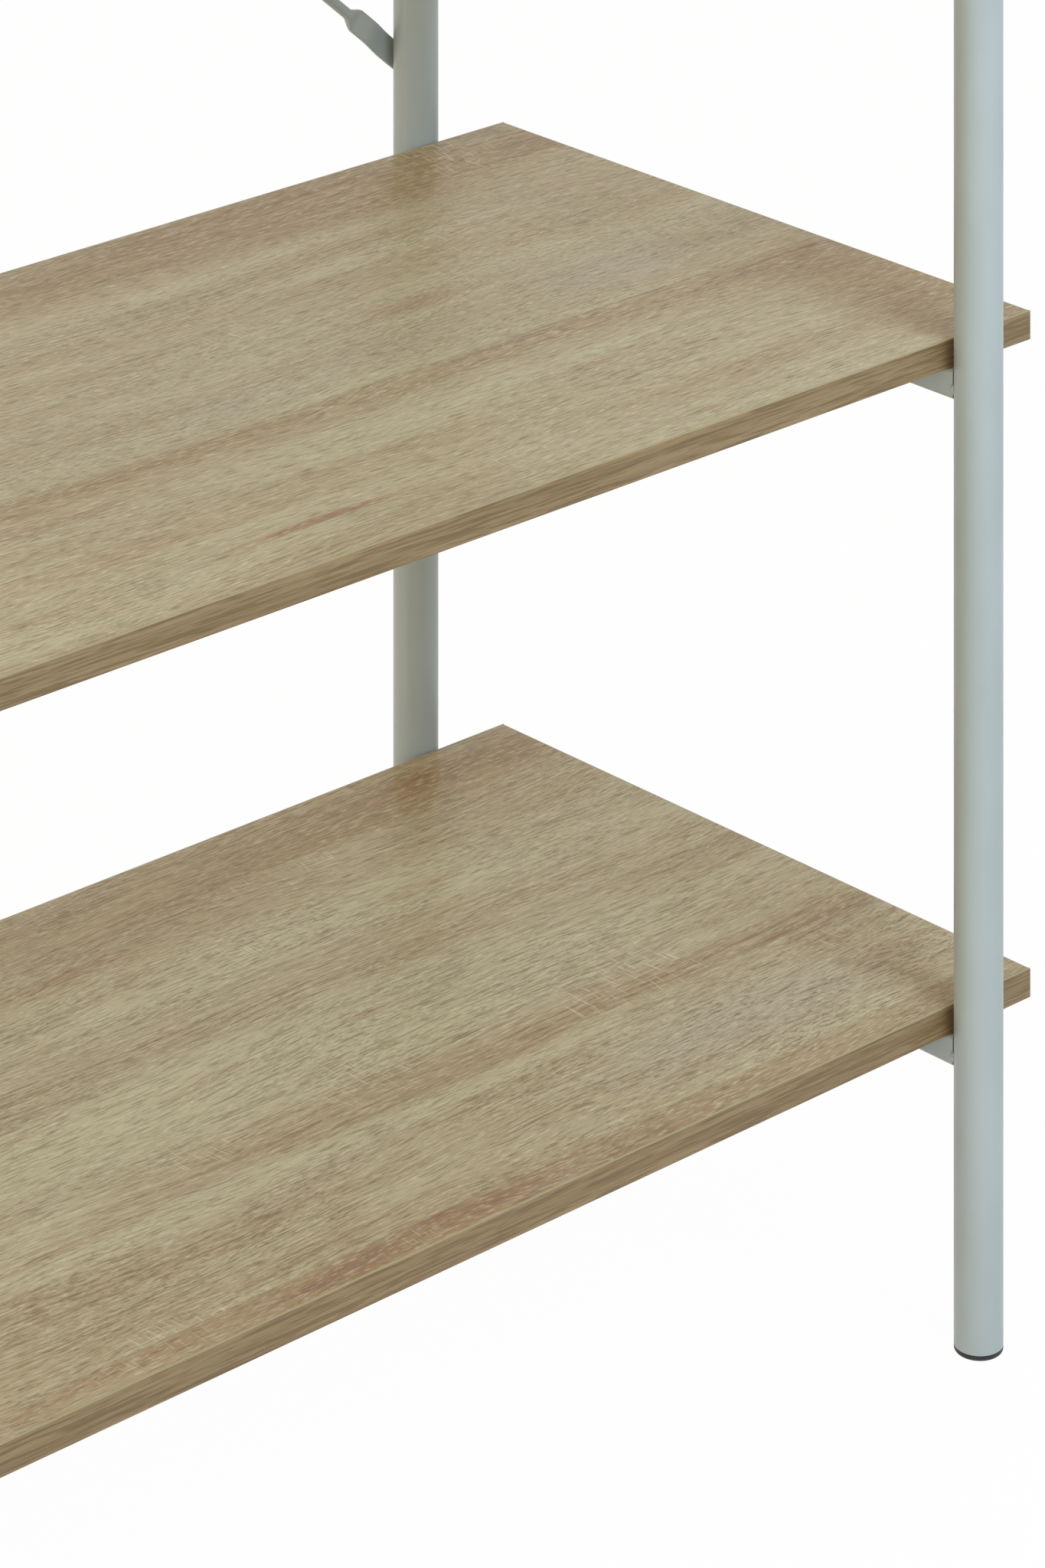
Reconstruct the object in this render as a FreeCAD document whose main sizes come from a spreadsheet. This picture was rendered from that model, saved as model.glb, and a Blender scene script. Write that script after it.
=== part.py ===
import FreeCAD, Part
import os
import re
import Sketcher

Vector = FreeCAD.Vector

# Free-standing shelving unit: boards on welded tube ladders, with a crossed pair of rods behind.
# X runs left to right, Y from front to rear and Z up, from the floor under the unit's centre.
# Tiers are numbered from the floor up. Every size is in millimetres.

TIER_COUNT = 5
UNBRACED_BAY_COUNT = 1

SIZES = [
    ("shelf_width", 800.0, "shelf with its edge bands, left to right"),
    ("shelf_depth", 400.0, "shelf with its edge bands, front to rear"),
    ("board_thickness", 15.0, "laminated particle board"),
    ("band_thickness", 1.0, "plastic strip glued round the board"),
    ("band_rounding", 0.7, "outer arrises of the strip"),
    ("first_shelf_height", 171.0, "floor to the top of the lowest shelf"),
    ("shelf_pitch", 336.5, "top of one shelf to the top of the next"),
    ("post_diameter", 25.0, "round steel tube"),
    ("post_wall", 1.2, "wall of the round tube"),
    ("post_inset", 53.0, "end of a shelf to the axis of its posts"),
    ("post_gap", 1.0, "front or rear edge of a shelf to the tube"),
    ("post_rise", 30.0, "tube above the top shelf"),
    ("rail_size", 15.0, "square steel tube under each end of a shelf"),
    ("rail_wall", 1.2, "wall of the square tube"),
    ("rail_rounding", 2.0, "outer corners of the square tube"),
    ("weld_gap", 0.6, "hollowed end of a rail to the post"),
    ("weld_radius", 1.8, "bead beside a rail"),
    ("weld_length", 5.2, "bead beside a rail, up and down"),
    ("weld_rise", 2.8, "bottom of a rail to the bead beside it"),
    ("weld_sag_radius", 3.0, "bead under a rail"),
    ("weld_sag_length", 8.0, "bead under a rail, left to right"),
    ("plug_flange", 3.0, "visible disc of the tube's plastic plug"),
    ("plug_rounding", 1.8, "outer edge of the disc"),
    ("plug_stem", 16.0, "part of the plug inside the tube"),
    ("plug_wall", 2.0, "wall of the hollow stem"),
    ("plug_clearance", 0.1, "stem to the tube's bore, all round"),
    ("brace_diameter", 6.0, "round rod of the cross brace"),
    ("brace_reach", 40.0, "brace screw above one shelf, and below another"),
    ("tab_width", 13.0, "flattened end of the rod"),
    ("tab_thickness", 2.2, "flattened end of the rod"),
    ("tab_shoulder", 9.0, "stretch where the rod spreads into the tab"),
    ("tab_length", 46.0, "screw to the start of the full tab"),
    ("tab_crank", 4.0, "step that sets the rod clear of the other rod"),
    ("crank_start", 24.0, "screw to the far end of the step"),
    ("crank_run", 8.0, "length of the step along the tab"),
    ("brace_screw_diameter", 6.0, "shank of the brace screw"),
    ("brace_screw_length", 14.0, "shank of the brace screw"),
    ("brace_head_diameter", 10.5, "button head"),
    ("brace_head_height", 3.3, "button head"),
    ("brace_head_rounding", 2.6, "button head"),
    ("hex_socket", 4.6, "corner to corner of the key socket"),
    ("hex_depth", 2.0, "key socket"),
    ("thread_clearance", 0.1, "screw to its hole, all round"),
    ("nut_diameter", 9.0, "sleeve of the rivet nut in the post"),
    ("nut_length", 12.0, "sleeve of the rivet nut"),
    ("collar_diameter", 11.0, "swollen collar inside the tube"),
    ("collar_depth", 3.0, "outer end of the nut to the collar"),
    ("collar_length", 2.0, "swollen collar"),
    ("shelf_screw_diameter", 4.0, "wood screw up through a rail"),
    ("shelf_screw_length", 25.0, "wood screw under its head"),
    ("shelf_screw_point", 1.5, "chamfered tip of the wood screw"),
    ("shelf_screw_spacing", 260.0, "front screw to rear screw of a rail"),
    ("shelf_head_diameter", 8.0, "pan head"),
    ("shelf_head_height", 2.4, "pan head"),
    ("shelf_head_rounding", 1.2, "pan head"),
    ("recess_length", 4.4, "cross recess of the pan head"),
    ("recess_width", 0.9, "cross recess of the pan head"),
    ("recess_depth", 1.3, "cross recess of the pan head"),
    ("overrun", 2.0, "how far a cut runs past what it cuts"),
]

doc = FreeCAD.newDocument("shelving_unit")
sheet = doc.addObject("Spreadsheet::Sheet", "Sizes")
for row, (alias, value, note) in enumerate(SIZES, start=1):
    sheet.set(f"A{row}", note)
    sheet.set(f"B{row}", str(value))
    sheet.setAlias(f"B{row}", alias)
doc.recompute()

ALIASES = re.compile(r"\b(" + "|".join(alias for alias, value, note in SIZES) + r")\b")

# Places that several pieces share, written in the sheet's names
POST_X = "(shelf_width / 2 - post_inset)"
POST_Y = "(shelf_depth / 2 + post_gap + post_diameter / 2)"
POST_BORE = "(post_diameter - 2 * post_wall)"
POST_TOP = f"(first_shelf_height + {TIER_COUNT - 1} * shelf_pitch + post_rise)"
REAR_OF_POST = f"({POST_Y} + post_diameter / 2)"
LOW_BOLT = f"(first_shelf_height + {UNBRACED_BAY_COUNT} * shelf_pitch + brace_reach)"
HIGH_BAY_COUNT = TIER_COUNT - 1 - UNBRACED_BAY_COUNT
HIGH_BOLT = f"(first_shelf_height + {HIGH_BAY_COUNT} * shelf_pitch - board_thickness - brace_reach)"
HALF_BRACE = f"(sqrt({POST_X} ^ 2 + ({HIGH_BOLT} - {LOW_BOLT}) ^ 2 / 4))"
SCREW_HOLE = "(shelf_screw_diameter + 2 * thread_clearance)"
SIDES = {"left": -1, "right": 1}
ENDS = {"front": -1, "rear": 1}

nodes = []


def shelf_top(tier):
    return f"(first_shelf_height + {tier - 1} * shelf_pitch)"


def rail_bottom(tier):
    return f"({shelf_top(tier)} - board_thickness - rail_size)"


def cells(text):
    return ALIASES.sub(r"Sizes.\1", str(text))


def bind(obj, **formulas):
    for name, text in formulas.items():
        obj.setExpression(name, cells(text))


def size(alias):
    return float(sheet.get(alias))


# Sets where an object stands, each coordinate by a formula
def place(obj, x="0", y="0", z="0"):
    for axis, text in zip("xyz", (x, y, z)):
        obj.setExpression(f"Placement.Base.{axis}", cells(text))


def new_body(label):
    body = doc.addObject("PartDesign::Body", label)
    body.Label = label
    return body


def keep(obj):
    nodes.append(obj)
    return obj


def origin_plane(body, role):
    return next(feature for feature in body.Origin.OriginFeatures if feature.Role == role)


# A sketch on one of the body's own origin planes, moved by formulas in the plane's own axes
def sketch_on(body, role, x="0", y="0", z="0"):
    sketch = body.newObject("Sketcher::SketchObject", "Sketch")
    sketch.AttachmentSupport = [(origin_plane(body, role), "")]
    sketch.MapMode = "FlatFace"
    for axis, text in zip("xyz", (x, y, z)):
        sketch.setExpression(f"AttachmentOffset.Base.{axis}", cells(text))
    return sketch


def constrain(sketch, kind, where, text):
    index = sketch.addConstraint(Sketcher.Constraint(kind, *where, 1.0))
    sketch.setExpression(f"Constraints[{index}]", cells(text))


def add_circle(sketch, diameter, x="0", y="0"):
    curve = sketch.addGeometry(Part.Circle(Vector(), Vector(0, 0, 1), 1.0))
    constrain(sketch, "Diameter", (curve,), diameter)
    constrain(sketch, "DistanceX", (-1, 1, curve, 3), x)
    constrain(sketch, "DistanceY", (-1, 1, curve, 3), y)


# Closes a chain of lines that starts as a loop of unit corners
def add_loop(sketch, corners):
    count = len(corners)
    first = sketch.GeometryCount
    for i in range(count):
        start, end = Vector(*corners[i]), Vector(*corners[(i + 1) % count])
        sketch.addGeometry(Part.LineSegment(start, end))
    for i in range(count):
        joint = (first + i, 2, first + (i + 1) % count, 1)
        sketch.addConstraint(Sketcher.Constraint("Coincident", *joint))
    return first


# A rectangle centred on the sketch's origin
def add_rectangle(sketch, width, height):
    first = add_loop(sketch, [(-1, -1), (1, -1), (1, 1), (-1, 1)])
    for i, kind in enumerate(("Horizontal", "Vertical", "Horizontal", "Vertical")):
        sketch.addConstraint(Sketcher.Constraint(kind, first + i))
    sketch.addConstraint(Sketcher.Constraint("Symmetric", first, 1, first + 2, 1, -1, 1))
    constrain(sketch, "DistanceX", (first, 1, first, 2), width)
    constrain(sketch, "DistanceY", (first + 1, 1, first + 1, 2), height)


def add_pad(body, sketch, length, both_ways=False):
    pad = body.newObject("PartDesign::Pad", "Pad")
    pad.Profile = sketch
    bind(pad, Length=length)
    if both_ways:
        pad.SideType = "Symmetric"
    doc.recompute()
    return pad


# Cuts along the sketch's normal, or against it, and makes sure that something was cut
def add_pocket(body, sketch, length, along_normal=False, both_ways=False):
    before = body.Shape.Volume
    pocket = body.newObject("PartDesign::Pocket", "Pocket")
    pocket.Profile = sketch
    pocket.Reversed = along_normal
    bind(pocket, Length=length)
    if both_ways:
        pocket.SideType = "Symmetric"
    doc.recompute()
    if not body.Shape.Volume < before:
        raise RuntimeError(f"{body.Label}: a pocket cuts nothing")
    return pocket


def add_fillet(body, feature, radius, wanted):
    edges = [f"Edge{i}" for i, edge in enumerate(feature.Shape.Edges, start=1) if wanted(edge)]
    fillet = body.newObject("PartDesign::Fillet", "Fillet")
    fillet.Base = (feature, edges)
    bind(fillet, Radius=radius)
    doc.recompute()
    return fillet


def add_loft(body, start, end):
    loft = body.newObject("PartDesign::AdditiveLoft", "Loft")
    loft.Profile = start
    loft.Sections = [end]
    loft.Ruled = True
    doc.recompute()
    return loft


# Copies of one piece, each where its formulas say, kept together as separate solids
def add_group(label, master, places, turn=FreeCAD.Rotation()):
    copies = []
    for x, y, z, own_turn in places:
        copy = doc.addObject("App::Link", f"{label}_copy")
        copy.LinkedObject = master
        copy.LinkTransform = True
        copy.Placement = FreeCAD.Placement(Vector(), own_turn * turn)
        place(copy, x, y, z)
        copies.append(copy)
    group = doc.addObject("Part::Compound", label)
    group.Label = label
    group.Links = copies
    return keep(group)


# Particle board of one shelf, with blind pilot holes for its four screws
def make_board(tier):
    body = new_body(f"shelf_board_{tier}")
    outline = sketch_on(body, "XY_Plane")
    add_rectangle(outline, "shelf_width - 2 * band_thickness", "shelf_depth - 2 * band_thickness")
    add_pad(body, outline, "board_thickness")
    pilots = sketch_on(body, "XY_Plane")
    for side in SIDES.values():
        for end in ENDS.values():
            add_circle(pilots, SCREW_HOLE, f"{side} * {POST_X}", f"{end} * shelf_screw_spacing / 2")
    depth = "shelf_screw_length - rail_size + thread_clearance"
    add_pocket(body, pilots, depth, along_normal=True)
    place(body, z=f"{shelf_top(tier)} - board_thickness")
    keep(body)


# Strip along the front or rear edge, which covers the ends of the side strips
def make_long_band(tier, name, end):
    body = new_body(f"edge_band_{name}_{tier}")
    outline = sketch_on(body, "XY_Plane")
    add_rectangle(outline, "shelf_width", "band_thickness")
    pad = add_pad(body, outline, "board_thickness")
    length = size("shelf_width")
    add_fillet(body, pad, "band_rounding", lambda edge: is_outer(edge, "y", end, length))
    middle = f"{end} * (shelf_depth - band_thickness) / 2"
    place(body, y=middle, z=f"{shelf_top(tier)} - board_thickness")
    keep(body)


def make_side_band(tier, name, side):
    body = new_body(f"edge_band_{name}_{tier}")
    outline = sketch_on(body, "XY_Plane")
    add_rectangle(outline, "band_thickness", "shelf_depth - 2 * band_thickness")
    pad = add_pad(body, outline, "board_thickness")
    length = size("shelf_depth") - 2 * size("band_thickness")
    add_fillet(body, pad, "band_rounding", lambda edge: is_outer(edge, "x", side, length))
    middle = f"{side} * (shelf_width - band_thickness) / 2"
    place(body, x=middle, z=f"{shelf_top(tier)} - board_thickness")
    keep(body)


# True for a long edge of a strip on the side that faces outwards
def is_outer(edge, axis, sign, length):
    is_long = edge.Length > length - size("band_thickness")
    return is_long and getattr(edge.CenterOfMass, axis) * sign > 0


# Round post; a rear post has two holes at the back for the rivet nuts of the brace
def make_post(end_name, end, side_name, side):
    body = new_body(f"post_{end_name}_{side_name}")
    ring = sketch_on(body, "XY_Plane", z="plug_flange")
    add_circle(ring, "post_diameter")
    add_circle(ring, POST_BORE)
    add_pad(body, ring, f"{POST_TOP} - plug_flange")
    if end > 0:
        holes = sketch_on(body, "XZ_Plane")
        add_circle(holes, "nut_diameter + 2 * thread_clearance", y=LOW_BOLT)
        add_circle(holes, "nut_diameter + 2 * thread_clearance", y=HIGH_BOLT)
        add_pocket(body, holes, "post_diameter / 2 + overrun")
    place(body, x=f"{side} * {POST_X}", y=f"{end} * {POST_Y}")
    keep(body)


# Square tube under a shelf's end, hollowed at both ends to sit against the round posts
def make_rail(side_name, side, tier):
    body = new_body(f"rail_{side_name}_{tier}")
    section = sketch_on(body, "XZ_Plane")
    add_rectangle(section, "rail_size", "rail_size")
    add_rectangle(section, "rail_size - 2 * rail_wall", "rail_size - 2 * rail_wall")
    tube = add_pad(body, section, f"2 * {POST_Y}", both_ways=True)
    outer_corner = size("rail_size") / 2
    inner_corner = outer_corner - size("rail_wall")
    outside = add_fillet(body, tube, "rail_rounding", lambda edge: is_corner(edge, outer_corner))
    add_fillet(body, outside, "rail_rounding - rail_wall", lambda edge: is_corner(edge, inner_corner))
    cuts = sketch_on(body, "XY_Plane")
    for end in ENDS.values():
        add_circle(cuts, "post_diameter + 2 * weld_gap", y=f"{end} * {POST_Y}")
        add_circle(cuts, SCREW_HOLE, y=f"{end} * shelf_screw_spacing / 2")
    add_pocket(body, cuts, "rail_size + 2 * overrun", both_ways=True)
    place(body, x=f"{side} * {POST_X}", z=f"{rail_bottom(tier)} + rail_size / 2")
    keep(body)


# True for a long edge of the square tube that lies that far out both ways and is still sharp
def is_corner(edge, reach):
    middle = edge.CenterOfMass
    off_corner = max(abs(abs(middle.x) - reach), abs(abs(middle.z) - reach))
    return off_corner < size("rail_wall") / 2 and edge.Length > size("shelf_depth")


# Push-in plug: a rounded disc under the tube and a hollow stem inside it
def make_plug(label, x, y, z, turned):
    body = new_body(label)
    disc = sketch_on(body, "XY_Plane")
    add_circle(disc, "post_diameter")
    flange = add_pad(body, disc, "plug_flange")
    add_fillet(body, flange, "plug_rounding", is_low_rim)
    ring = sketch_on(body, "XY_Plane", z="plug_flange")
    stem = f"({POST_BORE} - 2 * plug_clearance)"
    add_circle(ring, stem)
    add_circle(ring, f"{stem} - 2 * plug_wall")
    add_pad(body, ring, "plug_stem")
    if turned:
        body.Placement = FreeCAD.Placement(Vector(), FreeCAD.Rotation(Vector(1, 0, 0), 180))
    place(body, x, y, z)
    keep(body)


def is_low_rim(edge):
    is_round = isinstance(edge.Curve, Part.Circle)
    return is_round and edge.CenterOfMass.z < size("plug_flange") / 2


# True for the rim of a screw head that faces away from the shank
def is_below(edge, head_height):
    is_round = isinstance(edge.Curve, Part.Circle)
    return is_round and edge.CenterOfMass.z < -size(head_height) / 2


# One rod of the cross brace along its own X axis, with a flattened, stepped tab at each end.
# The two rods are alike; the second is turned over, so that they pass one behind the other.
def make_brace(label, fall):
    body = new_body(label)
    neck = f"({HALF_BRACE} - tab_length - tab_shoulder)"
    bar = sketch_on(body, "YZ_Plane")
    add_circle(bar, "brace_diameter")
    add_pad(body, bar, f"2 * {neck}", both_ways=True)

    shoulder_start = sketch_on(body, "YZ_Plane", z=neck)
    add_circle(shoulder_start, "brace_diameter")
    shoulder_end = sketch_on(body, "YZ_Plane", z=f"{HALF_BRACE} - tab_length")
    add_rectangle(shoulder_end, "tab_thickness", "tab_width")
    shoulder = add_loft(body, shoulder_start, shoulder_end)

    blade = sketch_on(body, "YZ_Plane", z=f"{HALF_BRACE} - tab_length")
    add_rectangle(blade, "tab_thickness", "tab_width")
    flat = add_pad(body, blade, "tab_length - crank_start - crank_run")

    step_start = sketch_on(body, "YZ_Plane", z=f"{HALF_BRACE} - crank_start - crank_run")
    add_rectangle(step_start, "tab_thickness", "tab_width")
    offset = f"{fall} * tab_crank"
    step_end = sketch_on(body, "YZ_Plane", x=offset, z=f"{HALF_BRACE} - crank_start")
    add_rectangle(step_end, "tab_thickness", "tab_width")
    step = add_loft(body, step_start, step_end)

    lug = sketch_on(body, "YZ_Plane", x=offset, z=f"{HALF_BRACE} - crank_start")
    add_rectangle(lug, "tab_thickness", "tab_width")
    lug_pad = add_pad(body, lug, "crank_start")

    eye = sketch_on(body, "XZ_Plane", x=HALF_BRACE, z=f"-1 * {offset}")
    add_circle(eye, "tab_width")
    eye_pad = add_pad(body, eye, "tab_thickness", both_ways=True)

    hole = sketch_on(body, "XZ_Plane", x=HALF_BRACE, z=f"-1 * {offset}")
    add_circle(hole, "brace_screw_diameter + 2 * thread_clearance")
    bore = add_pocket(body, hole, "2 * tab_thickness", both_ways=True)

    mirror = body.newObject("PartDesign::Mirrored", "OtherEnd")
    mirror.Originals = [shoulder, flat, step, lug_pad, eye_pad, bore]
    mirror.MirrorPlane = (origin_plane(body, "YZ_Plane"), [""])
    body.Tip = mirror

    body.Placement = FreeCAD.Placement(Vector(), FreeCAD.Rotation(Vector(0, 1, 0), fall))
    slope = f"atan(({HIGH_BOLT} - {LOW_BOLT}) / (2 * {POST_X}))"
    body.setExpression("Placement.Rotation.Angle", cells(f"{fall} * {slope}"))
    tab_middle = f"{REAR_OF_POST} + tab_thickness / 2"
    place(body, y=f"{tab_middle} - {offset}", z=f"({HIGH_BOLT} + {LOW_BOLT}) / 2")
    keep(body)


# Button-head screw with a key socket; its shank runs up from the plane under the head
def make_brace_screw():
    body = new_body("brace_screw")
    disc = sketch_on(body, "XY_Plane", z="-1 * brace_head_height")
    add_circle(disc, "brace_head_diameter")
    head = add_pad(body, disc, "brace_head_height")
    add_fillet(body, head, "brace_head_rounding", lambda edge: is_below(edge, "brace_head_height"))
    rod = sketch_on(body, "XY_Plane")
    add_circle(rod, "brace_screw_diameter")
    add_pad(body, rod, "brace_screw_length")
    socket = body.newObject("PartDesign::SubtractivePrism", "KeySocket")
    socket.AttachmentSupport = [(origin_plane(body, "XY_Plane"), "")]
    socket.MapMode = "FlatFace"
    socket.Polygon = 6
    bind(socket, Circumradius="hex_socket / 2", Height="hex_depth + overrun")
    socket.setExpression("AttachmentOffset.Base.z", cells("-1 * brace_head_height - overrun"))
    return body


# Rivet nut: a threaded sleeve with a collar that swells behind the tube's wall
def make_rivet_nut():
    body = new_body("rivet_nut")
    bore = "brace_screw_diameter + 2 * thread_clearance"
    sleeve = sketch_on(body, "XY_Plane")
    add_circle(sleeve, "nut_diameter")
    add_circle(sleeve, bore)
    add_pad(body, sleeve, "nut_length")
    collar = sketch_on(body, "XY_Plane", z="collar_depth")
    add_circle(collar, "collar_diameter")
    add_circle(collar, bore)
    add_pad(body, collar, "collar_length")
    return body


# Pan-head wood screw with a cross recess
def make_shelf_screw():
    body = new_body("shelf_screw")
    disc = sketch_on(body, "XY_Plane", z="-1 * shelf_head_height")
    add_circle(disc, "shelf_head_diameter")
    head = add_pad(body, disc, "shelf_head_height")
    add_fillet(body, head, "shelf_head_rounding", lambda edge: is_below(edge, "shelf_head_height"))
    rod = sketch_on(body, "XY_Plane")
    add_circle(rod, "shelf_screw_diameter")
    shank = add_pad(body, rod, "shelf_screw_length")
    point = body.newObject("PartDesign::Chamfer", "Point")
    tip = [f"Edge{i}" for i, edge in enumerate(shank.Shape.Edges, start=1) if is_screw_tip(edge)]
    point.Base = (shank, tip)
    bind(point, Size="shelf_screw_point")
    doc.recompute()
    for width, height in (("recess_length", "recess_width"), ("recess_width", "recess_length")):
        slot = sketch_on(body, "XY_Plane", z="-1 * shelf_head_height")
        add_rectangle(slot, width, height)
        add_pocket(body, slot, "recess_depth", along_normal=True)
    return body


def is_screw_tip(edge):
    return edge.CenterOfMass.z > size("shelf_screw_length") - size("shelf_screw_point")


# Beads at one end of a rail, with the post's axis at the origin and the rail along +Y
def make_weld_beads():
    corner = "sqrt((post_diameter / 2) ^ 2 - (rail_size / 2) ^ 2)"
    beads = []
    for side in SIDES.values():
        bead = doc.addObject("Part::Cylinder", "side_bead")
        bind(bead, Radius="weld_radius", Height="weld_length")
        place(bead, f"{side} * rail_size / 2", corner, "weld_rise")
        beads.append(bead)
    sag = doc.addObject("Part::Cylinder", "sag_bead")
    bind(sag, Radius="weld_sag_radius", Height="weld_sag_length")
    sag.Placement = FreeCAD.Placement(Vector(), FreeCAD.Rotation(Vector(0, 1, 0), 90))
    place(sag, "-1 * weld_sag_length / 2", "post_diameter / 2")
    tube = doc.addObject("Part::Cylinder", "post_envelope")
    bind(tube, Radius="post_diameter / 2", Height="3 * rail_size")
    place(tube, z="-1 * rail_size")
    bar = doc.addObject("Part::Box", "rail_envelope")
    bind(bar, Length="rail_size", Width="post_diameter", Height="rail_size")
    place(bar, "-1 * rail_size / 2")
    metal = doc.addObject("Part::Compound", "bead_cylinders")
    metal.Links = [*beads, sag]
    steel = doc.addObject("Part::Fuse", "post_and_rail")
    steel.Base, steel.Tool = tube, bar
    cut = doc.addObject("Part::Cut", "weld_beads")
    cut.Base, cut.Tool = metal, steel
    return cut


straight = FreeCAD.Rotation()
about = FreeCAD.Rotation(Vector(0, 0, 1), 180)
to_front = FreeCAD.Rotation(Vector(1, 0, 0), 90)

tiers = range(1, TIER_COUNT + 1)
for tier in tiers:
    make_board(tier)
    for name, end in ENDS.items():
        make_long_band(tier, name, end)
    for name, side in SIDES.items():
        make_side_band(tier, name, side)
        make_rail(name, side, tier)

for end_name, end in ENDS.items():
    for side_name, side in SIDES.items():
        corner_name = f"{end_name}_{side_name}"
        x, y = f"{side} * {POST_X}", f"{end} * {POST_Y}"
        make_post(end_name, end, side_name, side)
        make_plug(f"foot_glide_{corner_name}", x, y, "0", turned=False)
        make_plug(f"post_cap_{corner_name}", x, y, f"{POST_TOP} + plug_flange", turned=True)

make_brace("brace_rod_front", 1)
make_brace("brace_rod_rear", -1)

bolt_places = [(f"{side} * {POST_X}", z) for side in SIDES.values() for z in (LOW_BOLT, HIGH_BOLT)]
nut_places = [(x, REAR_OF_POST, z, straight) for x, z in bolt_places]
add_group("brace_rivet_nuts", make_rivet_nut(), nut_places, to_front)
screw_places = [(x, f"{REAR_OF_POST} + tab_thickness", z, straight) for x, z in bolt_places]
add_group("brace_screws", make_brace_screw(), screw_places, to_front)

rail_ends = [(tier, side, end) for tier in tiers for side in SIDES.values() for end in ENDS.values()]
wood_screws = [
    (f"{side} * {POST_X}", f"{end} * shelf_screw_spacing / 2", rail_bottom(tier), straight)
    for tier, side, end in rail_ends
]
add_group("shelf_screws", make_shelf_screw(), wood_screws)
weld_places = [
    (f"{side} * {POST_X}", f"{end} * {POST_Y}", rail_bottom(tier), straight if end < 0 else about)
    for tier, side, end in rail_ends
]
add_group("tack_welds", make_weld_beads(), weld_places)

doc.recompute()
for obj in doc.Objects:
    if "Invalid" in obj.State or "Error" in obj.State:
        raise RuntimeError(f"{obj.Label} failed: {obj.State}")
for node in nodes:
    if node.Shape.isNull() or not node.Shape.isValid():
        raise RuntimeError(f"{node.Label} has no valid shape")

os.makedirs("parts", exist_ok=True)
for node in nodes:
    node.Shape.exportStep(f"parts/{node.Label}.step")
print(len(nodes), "sub-parts,", sum(len(node.Shape.Solids) for node in nodes), "solids")
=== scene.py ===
"""An open shelving unit of oak-look boards on a tubular steel frame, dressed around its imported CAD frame."""

import logging
import math
from dataclasses import dataclass, field, replace
from enum import Enum
from typing import Any

import bmesh
import bpy
import numpy as np
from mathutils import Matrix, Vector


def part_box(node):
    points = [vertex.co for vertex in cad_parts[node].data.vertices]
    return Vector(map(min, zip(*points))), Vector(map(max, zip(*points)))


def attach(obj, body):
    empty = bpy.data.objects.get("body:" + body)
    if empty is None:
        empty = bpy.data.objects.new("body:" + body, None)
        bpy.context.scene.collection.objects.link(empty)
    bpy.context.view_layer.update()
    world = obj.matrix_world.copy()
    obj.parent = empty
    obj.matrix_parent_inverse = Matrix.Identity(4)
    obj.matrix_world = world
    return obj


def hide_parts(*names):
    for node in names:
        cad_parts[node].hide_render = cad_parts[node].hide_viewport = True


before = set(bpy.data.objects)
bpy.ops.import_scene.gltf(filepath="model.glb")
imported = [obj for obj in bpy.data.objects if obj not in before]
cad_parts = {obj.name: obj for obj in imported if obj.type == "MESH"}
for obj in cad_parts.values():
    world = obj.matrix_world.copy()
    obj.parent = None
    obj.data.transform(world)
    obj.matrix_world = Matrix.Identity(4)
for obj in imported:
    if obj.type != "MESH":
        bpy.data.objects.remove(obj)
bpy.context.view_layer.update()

LOG = logging.getLogger("shelving_unit")
MM = 0.001
MERGE_DISTANCE = 1e-7
NOISE_ROUGHNESS = 0.55
TIERS = 5
WHITE = "#ffffff"
NODES: dict[str, bpy.types.Object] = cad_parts


class End(Enum):
    """The two ends of a rail, as the sign of Y."""

    FRONT = -1
    REAR = 1


class GrainRun(Enum):
    """Which way a strip's printed grain runs."""

    ALONG_WIDTH = "width"
    ALONG_DEPTH = "depth"


def linear(hex_colour: str) -> tuple[float, float, float, float]:
    """Turns an sRGB hex value to linear light.

    Args:
        hex_colour: A value such as "#a89a7b".

    Returns:
        Red, green, blue and an alpha of 1.
    """
    srgb = np.array([int(hex_colour[i:i + 2], 16) for i in (1, 3, 5)]) / 255.0
    light = np.where(srgb <= 0.04045, srgb / 12.92, ((srgb + 0.055) / 1.055) ** 2.4)
    return (float(light[0]), float(light[1]), float(light[2]), 1.0)


def metres(sizes: tuple[float, ...]) -> tuple[float, ...]:
    """Turns sizes in mm to metres."""
    return tuple(size * MM for size in sizes)


def add_node(
    tree: bpy.types.NodeTree,
    kind: str,
    inputs: dict[int | str, Any] | None = None,
    **settings: Any,
) -> bpy.types.Node:
    """Adds one node with its settings, and links or sets its inputs.

    Args:
        tree: The node tree that takes it.
        kind: Blender's name for the node's type.
        inputs: For each input, a socket to link from or a value to set.
        **settings: The node's own properties.

    Returns:
        The new node.
    """
    node = tree.nodes.new(kind)
    for name, value in settings.items():
        setattr(node, name, value)
    for key, value in (inputs or {}).items():
        if isinstance(value, bpy.types.NodeSocket):
            tree.links.new(value, node.inputs[key])
        else:
            node.inputs[key].default_value = value
    return node


def new_material(name: str) -> bpy.types.Material:
    """Makes a material with an empty node tree, named for the real one."""
    material = bpy.data.materials.new(name)
    material.use_nodes = True
    material.node_tree.nodes.clear()
    return material


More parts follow.
